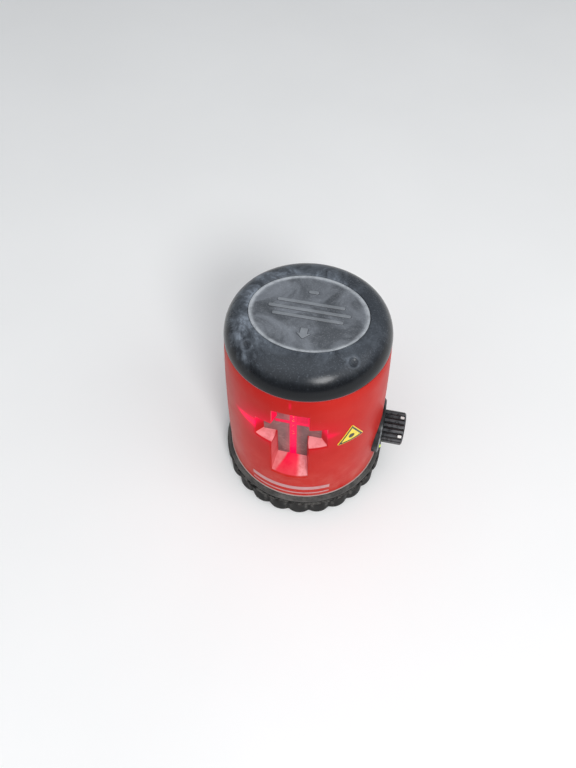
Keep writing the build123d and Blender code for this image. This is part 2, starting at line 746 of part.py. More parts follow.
magnet_back_y = bracket_front_y
with BuildPart() as damping_magnets:
    for side in (-1, 1):
        near = min(side * 0.5, side * 5.5)
        block((near, magnet_back_y - magnet_depth, 54.5), (near + 5, magnet_back_y, 59.5))
damping_magnets.part.label = "damping_magnets"
export_step(damping_magnets.part, "parts/damping_magnets.step")

# ---- gimbal and pendulum ------------------------------------------------------------
ring_bearing_y = 12.6
pin_tip_x = post_bearing_x + bearing_width - 0.3
pendulum_bottom_z = 55.2
stem_half = 8.0
stem_bottom_z = 59.5
stem_top_z = 86.0
module_r = 5.5
module_front_y = -19.0
module_back_y = 9.0
module_heights = (67.0, 79.0)
yoke_half_y = 8.6

with BuildPart() as gimbal_ring:
    tube(gimbal_outer_r, gimbal_inner_r, gimbal_z - gimbal_half_height, gimbal_z + gimbal_half_height)
    bore((-20, 0, gimbal_z), ALONG_X, pin_r, 40)
    bore((0, -20, gimbal_z), ALONG_Y, bearing_r, 40)
gimbal_ring.part.label = "gimbal_ring"
export_step(gimbal_ring.part, "parts/gimbal_ring.step")

with BuildPart() as gimbal_pins:
    for side in (-1, 1):
        cylinder((side * gimbal_inner_r, 0, gimbal_z), (side, 0, 0), pin_r, pin_tip_x - gimbal_inner_r)
gimbal_pins.part.label = "gimbal_pins"
export_step(gimbal_pins.part, "parts/gimbal_pins.step")

with BuildPart() as ring_bearings:
    for side in (-1, 1):
        bearing((0, side * ring_bearing_y, gimbal_z), (0, side, 0))
ring_bearings.part.label = "ring_bearings"
export_step(ring_bearings.part, "parts/ring_bearings.step")

with BuildPart() as pendulum_frame:
    block((-stem_half, -stem_half, stem_bottom_z), (stem_half, stem_half, stem_top_z))
    block((-4, -5, stem_top_z), (4, 5, 88))
    block((-4, -yoke_half_y, 88), (4, yoke_half_y, gimbal_z + 4.5))
    fillet(pendulum_frame.edges().filter_by(Axis.Z), 1.2)
    bore((0, -20, gimbal_z), ALONG_Y, pin_r, 40)
    for height in module_heights:
        bore((0, -20, height), ALONG_Y, module_r, 40)
pendulum_frame.part.label = "pendulum_frame"
export_step(pendulum_frame.part, "parts/pendulum_frame.step")

with BuildPart() as pendulum_pins:
    for side in (-1, 1):
        cylinder((0, side * 5, gimbal_z), (0, side, 0), pin_r, 10)
pendulum_pins.part.label = "pendulum_pins"
export_step(pendulum_pins.part, "parts/pendulum_pins.step")


def laser_module(height):
    """Barrel of one line laser with a stepped nose."""
    cylinder((0, module_front_y + 4, height), ALONG_Y, module_r, module_back_y - module_front_y - 4)
    cylinder((0, module_front_y, height), ALONG_Y, module_r - 1.2, 4)
    bore((0, module_front_y, height), ALONG_Y, 1.5, 3)


with BuildPart() as laser_module_lower:
    laser_module(module_heights[0])
laser_module_lower.part.label = "laser_module_lower"
export_step(laser_module_lower.part, "parts/laser_module_lower.step")

with BuildPart() as laser_module_upper:
    laser_module(module_heights[1])
laser_module_upper.part.label = "laser_module_upper"
export_step(laser_module_upper.part, "parts/laser_module_upper.step")

rod_lens_r = 1.6
rod_lens_half = 3.5
lens_y = module_front_y - rod_lens_r
with BuildPart() as line_lenses:
    # A rod lens spreads the beam across its own axis: flat below, upright above.
    cylinder((-rod_lens_half, lens_y, module_heights[0]), ALONG_X, rod_lens_r, 2 * rod_lens_half)
    cylinder((0, lens_y, module_heights[1] - rod_lens_half), ALONG_Z, rod_lens_r, 2 * rod_lens_half)
line_lenses.part.label = "line_lenses"
export_step(line_lenses.part, "parts/line_lenses.step")

with BuildPart() as balance_slugs:
    for height in module_heights:
        cylinder((0, module_back_y, height), ALONG_Y, module_r - 0.5, 4)
balance_slugs.part.label = "balance_slugs"
export_step(balance_slugs.part, "parts/balance_slugs.step")

trim_z = 57.4
with BuildPart() as pendulum_weight:
    cylinder((0, 0, pendulum_bottom_z), ALONG_Z, stem_half, stem_bottom_z - pendulum_bottom_z)
    bore((-10, 0, trim_z), ALONG_X, 1.0, 20)
pendulum_weight.part.label = "pendulum_weight"
export_step(pendulum_weight.part, "parts/pendulum_weight.step")

with BuildPart() as trim_screws:
    for side in (-1, 1):
        cylinder((side * 5, 0, trim_z), (side, 0, 0), 1.0, 4.2)
        slot_x = side * 9.0
        block(
            (slot_x - 0.3, -0.7, trim_z - 0.2),
            (slot_x + 0.3, 0.7, trim_z + 0.2),
            mode=Mode.SUBTRACT,
        )
trim_screws.part.label = "trim_screws"
export_step(trim_screws.part, "parts/trim_screws.step")

with BuildPart() as damping_vane:
    block((-7, stem_half, pendulum_bottom_z), (7, stem_half + 1, 60.4))
damping_vane.part.label = "damping_vane"
export_step(damping_vane.part, "parts/damping_vane.step")

# ---- electronics --------------------------------------------------------------------
board_thickness = 1.6
board_back_x = board_x - board_thickness
with BuildPart() as circuit_board:
    block((board_back_x, -16, tray_top_z), (board_x, 16, 70))
circuit_board.part.label = "circuit_board"
export_step(circuit_board.part, "parts/circuit_board.step")

with BuildPart() as board_parts:
    block((board_back_x - 3.4, -10, 30), (board_back_x, -2, 36))
    block((board_back_x - 1.4, -7, 44), (board_back_x, 3, 54))
    cylinder((board_back_x, 8, 40), (-1, 0, 0), 2.8, 4.6)
    cylinder((board_back_x, 8, 48), (-1, 0, 0), 2.1, 3.6)
    for row in range(5):
        chip_z = 58 + 2.2 * row
        block((board_back_x - 0.6, -6, chip_z), (board_back_x, -4, chip_z + 1.2))
        block((board_back_x - 0.6, 2, chip_z), (board_back_x, 4, chip_z + 1.2))
board_parts.part.label = "board_parts"
export_step(board_parts.part, "parts/board_parts.step")

switch_low_x = 20.0
switch_high_x = 27.0
with BuildPart() as lock_switch:
    block((switch_low_x, -4, 22), (switch_high_x, 4, 28.6))
    block((switch_low_x + 1, -3, tray_top_z), (switch_high_x - 1, 3, 22))
    block((switch_low_x, -1.5, 28.6), (switch_high_x - 0.5, 1.5, 29.2))
    cylinder((switch_low_x + 1, 0, 30.3), ALONG_X, 1.2, 2)
lock_switch.part.label = "lock_switch"
export_step(lock_switch.part, "parts/lock_switch.step")


def lead(*route):
    """One insulated lead along straight runs with rounded corners."""
    with BuildLine() as path:
        FilletPolyline(*route, radius=3)
    start = path.line @ 0
    with BuildSketch(Plane(origin=start, z_dir=path.line % 0)) as section:
        Circle(0.6)
    sweep(section.sketch, path=path.line)


lamp_lead_end_x = plate_back_x - 0.5
with BuildPart() as wiring:
    lead(
        (board_x, -2, 18.6),
        (-18, -2, 18.6),
        (12, -4, 18.6),
        (16, -3, 20.0),
        (switch_low_x - 0.3, -2.5, 25.0),
    )
    lead((board_x, -6.5, 22.2), (27, -6.5, 22.2), (31, -8, 25.0), (lamp_lead_end_x, lamp_y, lamp_z))
    lead((board_x, 5, 20.4), (-14, 5, 20.4), (-7, 14, 20.4), (-6, 18.4, 24))
wiring.part.label = "wiring"
export_step(wiring.part, "parts/wiring.step")

# ---- batteries ----------------------------------------------------------------------
cell_azimuths = [180 + cell_spacing * i for i in (-1, 0, 1)]
cell_places = [around(cell_circle_r, azimuth) for azimuth in cell_azimuths]
cradle_inner_r = 19.6
cradle_outer_r = 35.8
cradle_half_angle = 48
cradle_bottom_z = 20.6
cradle_top_z = 79.0
bay_bottom_z = 23.4
bay_top_z = 75.2
nub_length = 1.3
nub_r = 2.75
contact_thickness = 0.4

with BuildPart() as battery_cradle:
    tube(cradle_outer_r, cradle_inner_r, cradle_bottom_z, cradle_top_z)
    with BuildSketch(Plane.XY.offset(cradle_bottom_z)):
        corners = [around(80, 180 + turn) for turn in (-cradle_half_angle, 0, cradle_half_angle)]
        Polygon((0, 0), *corners, align=None)
    extrude(amount=cradle_top_z - cradle_bottom_z, mode=Mode.INTERSECT)
    for place_x, place_y in cell_places:
        bore((place_x, place_y, bay_bottom_z), ALONG_Z, cell_r + 0.3, bay_top_z - bay_bottom_z)
        block(
            (place_x - cell_r - 0.3, place_y, bay_bottom_z),
            (place_x + cell_r + 0.3, 45, bay_top_z),
            mode=Mode.SUBTRACT,
        )
    for azimuth in (-25, 25):
        foot_x, foot_y = around(27, 180 + azimuth)
        cylinder((foot_x, foot_y, tray_top_z), ALONG_Z, 3, cradle_bottom_z - tray_top_z + 1)
battery_cradle.part.label = "battery_cradle"
export_step(battery_cradle.part, "parts/battery_cradle.step")

with BuildPart() as battery_cells:
    for index, (place_x, place_y) in enumerate(cell_places):
        upside_down = index == 1
        nub_start_z = cell_bottom_z + cell_length - nub_length
        case_z = cell_bottom_z + (nub_length if upside_down else 0)
        with BuildSketch(Plane.XY.offset(case_z)) as case:
            with Locations((place_x, place_y)):
                Circle(cell_r)
        extrude(case.sketch, amount=cell_length - nub_length)
        nub_z = cell_bottom_z if upside_down else nub_start_z
        cylinder((place_x, place_y, nub_z), ALONG_Z, nub_r, nub_length)
battery_cells.part.label = "battery_cells"
export_step(battery_cells.part, "parts/battery_cells.step")

with BuildPart() as battery_contacts:
    for place_x, place_y in cell_places:
        for low_z in (bay_bottom_z, bay_top_z - contact_thickness):
            block(
                (place_x - 4, place_y - 4, low_z),
                (place_x + 4, place_y + 4, low_z + contact_thickness),
            )
battery_contacts.part.label = "battery_contacts"
export_step(battery_contacts.part, "parts/battery_contacts.step")

# ---- battery door, hinge and latch --------------------------------------------------
knuckle_half = 4.2
latch_half_x = 5.0
latch_inner_y = 37.5
latch_bottom_z = 71.0
latch_top_z = 77.4
latch_travel = 1.3

with BuildPart() as battery_door:
    barrel_shell(door_bottom_z, door_top_z, 0, wall)
    block((-door_half_width, 20, 0), (door_half_width, 60, 100), mode=Mode.INTERSECT)
    lug_top_z = door_bottom_z + 2.4
    block((-knuckle_half, hinge_y - hinge_r, hinge_z), (knuckle_half, hinge_y + 0.4, lug_top_z))
    block((-knuckle_half, 38.6, door_bottom_z), (knuckle_half, hinge_y, lug_top_z))
    cylinder((-knuckle_half, hinge_y, hinge_z), ALONG_X, hinge_r, 2 * knuckle_half)
    bore((-10, hinge_y, hinge_z), ALONG_X, hinge_pin_r + running, 20)
    block(
        (-latch_half_x - 0.2, latch_inner_y - 0.1, latch_bottom_z - latch_travel - 0.2),
        (latch_half_x + 0.2, 45, door_top_z + 1),
        mode=Mode.SUBTRACT,
    )
battery_door.part.label = "battery_door"
export_step(battery_door.part, "parts/battery_door.step")

with BuildPart() as door_latch:
    block((-latch_half_x, latch_inner_y, latch_bottom_z), (latch_half_x, 38.9, latch_top_z))
    for rib in range(3):
        rib_z = latch_bottom_z + 1.0 + 1.7 * rib
        block((-3.8, 38.9, rib_z), (3.8, 39.4, rib_z + 0.8))
door_latch.part.label = "door_latch"
export_step(door_latch.part, "parts/door_latch.step")

with BuildPart() as hinge_pin:
    cylinder((-knuckle_outer, hinge_y, hinge_z), ALONG_X, hinge_pin_r, 2 * knuckle_outer)
hinge_pin.part.label = "hinge_pin"
export_step(hinge_pin.part, "parts/hinge_pin.step")
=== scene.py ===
"""Looks of the cross-line laser level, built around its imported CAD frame.

Lengths are in metres, in the CAD's own frame: front is -Y, the knob is on +X, Z is the
swivel axis. Mesh builders work in millimetres and scale by MM at the end.
"""

import json
import math

import bpy
from mathutils import Matrix, Vector


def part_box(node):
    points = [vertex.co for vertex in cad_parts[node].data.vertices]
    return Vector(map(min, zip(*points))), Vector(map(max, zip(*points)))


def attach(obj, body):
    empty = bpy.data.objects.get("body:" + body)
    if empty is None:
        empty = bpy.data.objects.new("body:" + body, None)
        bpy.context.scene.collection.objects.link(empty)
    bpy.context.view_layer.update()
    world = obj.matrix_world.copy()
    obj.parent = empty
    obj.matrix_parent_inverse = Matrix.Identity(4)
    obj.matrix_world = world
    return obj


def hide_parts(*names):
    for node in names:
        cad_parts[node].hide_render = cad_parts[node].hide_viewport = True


MM = 0.001
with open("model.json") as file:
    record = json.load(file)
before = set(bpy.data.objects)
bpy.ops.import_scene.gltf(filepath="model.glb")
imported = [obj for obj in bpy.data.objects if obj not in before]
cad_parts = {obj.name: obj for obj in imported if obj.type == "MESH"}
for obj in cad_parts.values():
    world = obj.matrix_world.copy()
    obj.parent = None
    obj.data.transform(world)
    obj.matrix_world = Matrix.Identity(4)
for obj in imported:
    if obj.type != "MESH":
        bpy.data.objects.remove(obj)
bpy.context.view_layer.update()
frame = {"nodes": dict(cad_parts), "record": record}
nodes = frame["nodes"]
scene = bpy.context.scene


# ---- node graphs --------------------------------------------------------------------
class Graph:
    """A material's node tree, with short calls for the nodes that recur."""

    def __init__(self, name):
        self.material = bpy.data.materials.new(name)
        self.material.use_nodes = True
        self.tree = self.material.node_tree
        self.shader = self.tree.nodes["Principled BSDF"]
        self.coords = self.add("ShaderNodeTexCoord").outputs["Object"]

    def add(self, kind, **settings):
        node = self.tree.nodes.new(kind)
        for key, value in settings.items():
            setattr(node, key, value)
        return node

    def link(self, source, target):
        if isinstance(source, bpy.types.NodeSocket):
            self.tree.links.new(source, target)
        else:
            target.default_value = source

    def math(self, operation, *values, clamp=False):
        node = self.add("ShaderNodeMath", operation=operation, use_clamp=clamp)
        for index, value in enumerate(values):
            self.link(value, node.inputs[index])
        return node.outputs[0]

    def times(self, *values):
        total = values[0]
        for value in values[1:]:
            total = self.math("MULTIPLY", total, value)
        return total

    def plus(self, first, second):
        return self.math("ADD", first, second)

    def minus(self, first, second):
        return self.math("SUBTRACT", first, second)

    def unsigned(self, value):
        return self.math("ABSOLUTE", value)

    def larger(self, first, second):
        return self.math("MAXIMUM", first, second)

    def smaller(self, first, second):
        return self.math("MINIMUM", first, second)

    def hypotenuse(self, first, second):
        return self.math("SQRT", self.plus(self.times(first, first), self.times(second, second)))

    def noise(self, scale, detail=4.0, roughness=0.55, distortion=0.0, coords=None):
        node = self.add("ShaderNodeTexNoise")
        self.link(coords or self.coords, node.inputs["Vector"])
        node.inputs["Scale"].default_value = scale
        node.inputs["Detail"].default_value = detail
        node.inputs["Roughness"].default_value = roughness
        node.inputs["Distortion"].default_value = distortion
        return node.outputs["Fac"]

    def stretched(self, scales):
        """Object coordinates stretched per axis, for scratches and brushing."""
        node = self.add("ShaderNodeVectorMath", operation="MULTIPLY")
        self.link(self.coords, node.inputs[0])
        node.inputs[1].default_value = scales
        return node.outputs[0]

    def axes(self):
        """X, Y and Z of the object coordinates, in metres."""
        node = self.add("ShaderNodeSeparateXYZ")
        self.link(self.coords, node.inputs[0])
        return node.outputs[0], node.outputs[1], node.outputs[2]

    def span(self, value, low, high, to_low=0.0, to_high=1.0):
        """Value mapped smoothly from low..high to to_low..to_high."""
        node = self.add("ShaderNodeMapRange", interpolation_type="SMOOTHSTEP")
        self.link(value, node.inputs["Value"])
        node.inputs["From Min"].default_value = low
        node.inputs["From Max"].default_value = high
        node.inputs["To Min"].default_value = to_low
        node.inputs["To Max"].default_value = to_high
        return node.outputs["Result"]

    def mix(self, factor, first, second):
        node = self.add("ShaderNodeMix", data_type="RGBA")
        self.link(factor, node.inputs["Factor"])
        self.link(first, node.inputs[6])
        self.link(second, node.inputs[7])
        return node.outputs[2]

    def bump(self, *layers):
        """Bump chain; each layer is (height socket, distance in mm, strength)."""
        normal = None
        for height, distance, strength in layers:
            node = self.add("ShaderNodeBump")
            self.link(height, node.inputs["Height"])
            node.inputs["Distance"].default_value = distance * MM
            node.inputs["Strength"].default_value = strength
            if normal is not None:
                self.link(normal, node.inputs["Normal"])
            normal = node.outputs["Normal"]
        self.link(normal, self.shader.inputs["Normal"])

    def set(self, **values):
        for key, value in values.items():
            self.link(value, self.shader.inputs[key.replace("_", " ")])
        return self.material


def rgb(red, green, blue):
    return (red, green, blue, 1.0)


def speckle(graph, scale, low, high):
    """Fine specks; a higher low and high leave fewer of them."""
    return graph.span(graph.noise(scale, 3.0, 0.65), low, high)


# ---- sizes in metres, read by the finishes ------------------------------------------
laser_red = rgb(1.0, 0.0, 0.07)
beam_z = 74.8 * MM
# Window recess: its slope under the pane and its two side ledges, which rise to the back.
pane_front = 32 * MM
slope_low_z = 36 * MM
slope_high_z = 48 * MM
slope_rise = 1.22
ledge_z = 66.6 * MM
ledge_rise = 0.244
knob_low, knob_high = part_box("lock_knob")
knob_axis_z = (knob_low[2] + knob_high[2]) / 2
knob_crest_r = (knob_high[2] - knob_low[2]) / 2

# ---- shape of the cap and barrel, in millimetres ------------------------------------
barrel_low_z = 16.6
barrel_low_r = 40.4
seam_z = 101.7
seam_r = 37.0
crown_z = 114.5
crown_half = (26.6, 21.9)
inlay_half = (26.0, 21.3)
inlay_top_z = 113.9


def dome_halves(turn):
    """Half widths of the cap's outline in X and Y; turn runs up the quarter arc."""
    return [half + (seam_r - half) * math.cos(turn) for half in crown_half]


def dome_point(turn, angle):
    """Point of the cap's outside; angle runs round from +X."""
    half_x, half_y = dome_halves(turn)
    height = seam_z + (crown_z - seam_z) * math.sin(turn)
    return Vector((half_x * math.cos(angle), half_y * math.sin(angle), height))


def dimple_centre(azimuth):
    """Centre of a dimple; azimuth counts in degrees from the front towards the knob."""
    slope = math.radians(60)
    wanted = math.radians(azimuth)
    half_x, half_y = dome_halves(slope)
    return dome_point(slope, math.atan2(-math.cos(wanted) / half_y, math.sin(wanted) / half_x))


dimple_r = 2.15
dimple_depth = 0.75
lip_width = 0.9
lip_height = 0.05
dimples = [dimple_centre(-45), dimple_centre(47)]


# ---- finishes -----------------------------------------------------------------------
def moulded(name, base, worn, rough, grain, depth):
    """Moulded plastic or rubber: mottled colour, patchy gloss and a fine grain."""
    g = Graph(name)
    patches = g.span(g.noise(90.0, 5.0, 0.6), 0.35, 0.7)
    colour = g.mix(patches, rgb(*base), rgb(*worn))
    gloss = g.span(g.noise(60.0, 5.0, 0.6), 0.3, 0.75, rough - 0.07, rough + 0.1)
    g.bump((g.noise(grain, 3.0, 0.6), depth, 0.5))
    return g.set(Base_Color=colour, Roughness=gloss)


def metal(name, base, rough, stretch=(1.0, 1.0, 18.0)):
    """Turned or drawn metal with fine marks across its length."""
    g = Graph(name)
    lines = g.noise(260.0, 4.0, 0.7, 0.0, g.stretched(stretch))
    stains = g.span(g.noise(120.0, 4.0, 0.6), 0.4, 0.75)
    darker = tuple(0.62 * c for c in base)
    colour = g.mix(g.times(stains, 0.5), rgb(*base), rgb(*darker))
    gloss = g.span(lines, 0.3, 0.7, rough - 0.08, rough + 0.12)
    g.bump((lines, 0.008, 0.5))
    return g.set(Base_Color=colour, Roughness=gloss, Metallic=1.0)


def recess_depth(g):
    """How far a point lies inside the barrel's outer surface, in metres."""
    x, y, z = g.axes()
    rise = g.math("DIVIDE", g.minus(z, barrel_low_z * MM), (seam_z - barrel_low_z) * MM)
    taper = g.times(rise, rise, (barrel_low_r - seam_r) * MM)
    return g.minus(g.minus(barrel_low_r * MM, taper), g.hypotenuse(x, y))


def laser_glow(g, inside):
    """The level's own light on the barrel; inside is 1 in the recess and 0 outside it.

    Returns the light's strength, and a mask of the lit wedge on the slope under the window.
    """
    x, y, z = g.axes()
    side = g.unsigned(x)
    height = g.unsigned(g.minus(z, beam_z))
    ahead = g.span(y, -22 * MM, -27 * MM)
    outside = g.minus(1.0, inside)
    stronger_left = g.span(x, -10 * MM, 10 * MM, 1.0, 0.0)
    # Flat fan on the barrel: a soft band that narrows as it runs round from the window.
    tip = g.plus(g.times(stronger_left, 5 * MM), 23.5 * MM)
    run = g.math("DIVIDE", g.minus(tip, side), 14 * MM, clamp=True)
    half = g.plus(g.times(run, 5.4 * MM), 2.3 * MM)
    core = g.span(g.math("DIVIDE", height, half), 0.0, 1.0, 1.0, 0.0)
    core = g.times(core, core)
    ends = g.span(run, 0.0, 0.45)
    power = g.plus(g.times(stronger_left, 0.44), 0.56)
    streak = g.times(core, ends, ahead, power)
    haze_z = g.span(height, 0.0, 16 * MM, 1.0, 0.0)
    haze_x = g.span(side, 8 * MM, 31 * MM, 1.0, 0.0)
    haze = g.times(haze_z, haze_x, ahead, power)
    # A short upright line between the window and the cap.
    above = g.times(g.span(z, 94 * MM, 97 * MM), g.span(z, 101 * MM, 98 * MM))
    above = g.times(above, g.span(side, 0.9 * MM, 0.2 * MM), ahead)
    on_barrel = g.plus(streak, g.times(haze, 0.48))
    on_barrel = g.plus(on_barrel, g.times(above, 0.4))
    # In the recess: the upper half glows all over, the lower slope has a widening wedge.
    upper = g.span(z, 70 * MM, 78 * MM, 0.0, 0.66)
    left_half = g.span(z, slope_high_z, slope_low_z, 2.6 * MM, 9.2 * MM)
    right_half = g.span(z, slope_high_z, slope_low_z, 2.4 * MM, 3.2 * MM)
    from_left = g.span(g.math("DIVIDE", x, left_half), -1.0, -0.72)
    from_right = g.span(g.math("DIVIDE", x, right_half), 1.9, 0.8)
    wedge = g.times(from_left, from_right, g.span(z, slope_high_z + 2.5 * MM, slope_high_z))
    fading = g.span(z, slope_high_z, slope_low_z, 0.62, 0.26)
    everywhere = 0.07
    in_recess = g.plus(g.plus(upper, g.times(wedge, fading)), everywhere)
    in_recess = g.times(in_recess, ahead)
    light = g.plus(g.times(on_barrel, outside), g.times(in_recess, inside))
    return light, wedge


def red_barrel():
    """Red plastic of the housing, with dust, painted floor reflection low down and on the far
    left, chalky ledges and the laser's own light.
    """
    g = Graph("red_plastic_look")
    x, y, z = g.axes()
    patches = g.span(g.noise(55.0, 5.0, 0.55), 0.25, 0.8)
    colour = g.mix(patches, rgb(0.48, 0.014, 0.010), rgb(0.53, 0.022, 0.015))
    off_centre = g.unsigned(g.plus(x, 5 * MM))
    deep = g.times(g.span(off_centre, 24 * MM, 8 * MM), g.span(y, -20 * MM, -28 * MM))
    deep = g.times(deep, g.span(z, 40 * MM, 62 * MM))
    colour = g.mix(g.times(deep, 0.6), colour, rgb(0.44, 0.008, 0.006))
    # Pale dust and handling haze, patchy and thicker towards the base, mixed there with painted
    # reflection of the floor.
    low = g.span(z, 55 * MM, 17 * MM, 0.04, 1.0)
    far_left = g.span(x, -20 * MM, -37 * MM, 0.0, 1.0)
    film = g.span(g.noise(110.0, 7.0, 0.72, 0.2), 0.36, 0.78)
    dust_and_floor_reflection = g.times(low, film, 0.20)
    # Painted reflection of the floor: a finely mottled pale sheen all along the far left.
    fine = g.span(g.noise(420.0, 5.0, 0.7), 0.25, 0.75, 0.10, 0.17)
    dust_and_floor_reflection = g.plus(dust_and_floor_reflection, g.times(far_left, fine))
    specks = g.times(speckle(g, 1300.0, 0.62, 0.74), 0.10)
    colour = g.mix(g.larger(dust_and_floor_reflection, specks), colour, rgb(0.58, 0.34, 0.27))
    depth = recess_depth(g)
    inside = g.span(depth, 0.35 * MM, 0.9 * MM)
    light, wedge = laser_glow(g, inside)
    # The ledges and the slope under the window face the sky and are chalky with dust.
    back = g.plus(y, pane_front)
    slope_line = g.minus(z, g.times(back, slope_rise))
    on_slope = g.span(slope_line, slope_high_z + 0.6 * MM, slope_high_z - 0.4 * MM)
    swept = g.minus(1.0, g.times(wedge, 0.66))
    on_slope = g.times(on_slope, swept, g.span(x, -3 * MM, 3 * MM, 0.62, 1.0))
    ledge_line = g.minus(z, g.times(back, ledge_rise))
    near_ledge = g.span(g.unsigned(g.minus(ledge_line, ledge_z)), 0.9 * MM, 0.3 * MM)
    on_ledge = g.times(near_ledge, g.span(g.unsigned(x), 7.4 * MM, 8.2 * MM))
    below_ledge = g.span(z, ledge_z - 0.6 * MM, ledge_z - 4.6 * MM, 0.0, 0.35)
    left_wall = g.times(below_ledge, g.span(x, -7.0 * MM, -7.6 * MM))
    chalk = g.larger(g.larger(on_slope, on_ledge), left_wall)
    rubbed = g.span(g.noise(260.0, 4.0, 0.6), 0.25, 0.6, 0.55, 1.0)
    chalk = g.times(chalk, inside, rubbed, g.span(y, -18 * MM, -24 * MM))
    colour = g.mix(chalk, colour, rgb(0.86, 0.36, 0.37))
    # The rim of the recess catches the light as a thin pale line.
    edge = g.times(g.span(depth, 0.08 * MM, 0.25 * MM), g.span(depth, 0.75 * MM, 0.45 * MM))
    edge = g.times(edge, g.span(z, 70 * MM, 76 * MM), g.span(y, -24 * MM, -28 * MM))
    colour = g.mix(g.times(edge, 0.75), colour, rgb(0.95, 0.36, 0.42))
    # Lit plastic reads as pure colour, so its own red is taken down under the light.
    bare = g.minus(1.0, g.times(chalk, 0.75))
    lit = g.times(g.smaller(light, 1.0), bare, 1.6)
    colour = g.mix(g.smaller(lit, 1.0), colour, rgb(0.30, 0.003, 0.006))
    gloss = g.span(g.noise(40.0, 5.0, 0.6), 0.3, 0.75, 0.30, 0.42)
    g.bump((g.noise(1100.0, 2.0, 0.5), 0.008, 0.3), (g.noise(130.0, 3.0, 0.5), 0.01, 0.15))
    return g.set(
        Base_Color=colour,
        Roughness=gloss,
        Specular_IOR_Level=0.06,
        Emission_Color=laser_red,
        Emission_Strength=light,
    )


def black_cap():
    """Black cap: dust held on its crown and shoulders and in a lip round each dimple, with a
    painted sky reflection over the crown and in the dust's blue tint, and painted shade inside
    each dimple.
    """
    g = Graph("cap_black_look")
    x, y, z = g.axes()
    crown = g.span(z, 108.0 * MM, 113.8 * MM)
    clouds = g.span(g.noise(52.0, 7.0, 0.68, 1.2), 0.42, 0.64)
    smudges = g.span(g.noise(170.0, 6.0, 0.75, 0.8), 0.42, 0.68)
    specks = speckle(g, 1500.0, 0.54, 0.70)
    # The front shoulder is wiped nearly clean; the sides and back keep their dust.
    beside = g.unsigned(g.minus(x, 5 * MM))
    front = g.times(g.span(beside, 27 * MM, 17 * MM), g.span(y, -18 * MM, -27 * MM))
    kept = g.minus(1.0, g.times(front, 0.86))
    cleaner_right = g.span(x, 12 * MM, 27 * MM, 1.0, 0.22)
    dustier_left = g.span(x, -12 * MM, -26 * MM, 1.0, 1.4)
    kept = g.times(kept, cleaner_right, dustier_left)
    grime = g.times(clouds, g.plus(g.times(smudges, 0.75), 0.25), kept)
    grime = g.plus(grime, g.times(specks, 0.22))
    # Pale veil over the crown: dust, and painted reflection of the sky.
    dust_and_sky_veil = g.plus(g.times(crown, 0.15), 0.003)
    held = g.span(z, 105.5 * MM, 112.5 * MM, 0.02, 0.66)
    amount = g.plus(dust_and_sky_veil, g.times(grime, held))
    for centre in dimples:
        offset = g.add("ShaderNodeVectorMath", operation="DISTANCE")
        g.link(g.coords, offset.inputs[0])
        offset.inputs[1].default_value = [MM * c for c in centre]
        away = offset.outputs["Value"]
        lip = g.span(away, 1.9 * MM, 2.4 * MM)
        lip = g.times(lip, g.span(away, 3.4 * MM, 2.6 * MM, 0.0, 0.09))
        # Painted shade: the hollow of each dimple is darkened by keeping less of the pale dust
        # there.
        dimple_shade = g.span(away, 1.4 * MM, 2.3 * MM, 0.7, 1.0)
        amount = g.plus(g.times(amount, dimple_shade), lip)
    bare = rgb(0.0033, 0.0042, 0.0060)
    # The pale bluish colour is dust, its blue tint a painted reflection of the sky.
    colour = g.mix(g.smaller(amount, 0.9), bare, rgb(0.255, 0.292, 0.345))
    gloss = g.span(amount, 0.0, 0.6, 0.225, 0.44)
    g.bump((g.noise(1500.0, 3.0, 0.65), 0.03, 0.6), (smudges, 0.02, 0.2))
    return g.set(Base_Color=colour, Roughness=gloss, Specular_IOR_Level=0.24)


def worn_inlay_with_relief_shade():
    """Oval inlay: mottled grey and a rubbed rim, with painted light on the tops of the raised
    marks and painted shadow round their feet.
    """
    g = Graph("cap_inlay_look")
    x, y, z = g.axes()
    across = g.math("DIVIDE", x, inlay_half[0] * MM)
    along = g.math("DIVIDE", y, inlay_half[1] * MM)
    radius = g.hypotenuse(across, along)
    rim = g.times(g.span(radius, 0.88, 0.965), g.span(radius, 0.90, 0.955, 0.35, 1.0))
    height = g.minus(z, inlay_top_z * MM)
    raised = g.span(height, 0.18 * MM, 0.26 * MM)
    clouds = g.span(g.noise(60.0, 5.0, 0.6, 0.7), 0.36, 0.68)
    specks = speckle(g, 1700.0, 0.5, 0.72)
    wear = g.span(g.noise(240.0, 5.0, 0.7), 0.32, 0.62, 0.35, 1.0)
    base = g.mix(clouds, rgb(0.068, 0.075, 0.086), rgb(0.205, 0.222, 0.250))
    base = g.mix(g.times(specks, 0.28), base, rgb(0.36, 0.38, 0.41))
    # Painted light: the tops of the raised marks are lighter.
    base = g.mix(g.times(raised, 0.5), base, rgb(0.30, 0.32, 0.345))
    # Painted shadow: a dark ring round the foot of each raised mark.
    foot_shadow = g.times(g.span(height, 0.0, 0.03 * MM), g.span(height, 0.22 * MM, 0.16 * MM))
    foot_shadow = g.times(foot_shadow, g.span(radius, 0.86, 0.82))
    base = g.mix(g.times(foot_shadow, 0.8), base, rgb(0.022, 0.025, 0.030))
    colour = g.mix(g.times(rim, wear), base, rgb(0.42, 0.445, 0.475))
    gloss = g.span(clouds, 0.0, 1.0, 0.42, 0.62)
    g.bump((g.noise(1500.0, 3.0, 0.6), 0.03, 0.6))
    return g.set(Base_Color=colour, Roughness=gloss, Specular_IOR_Level=0.4)


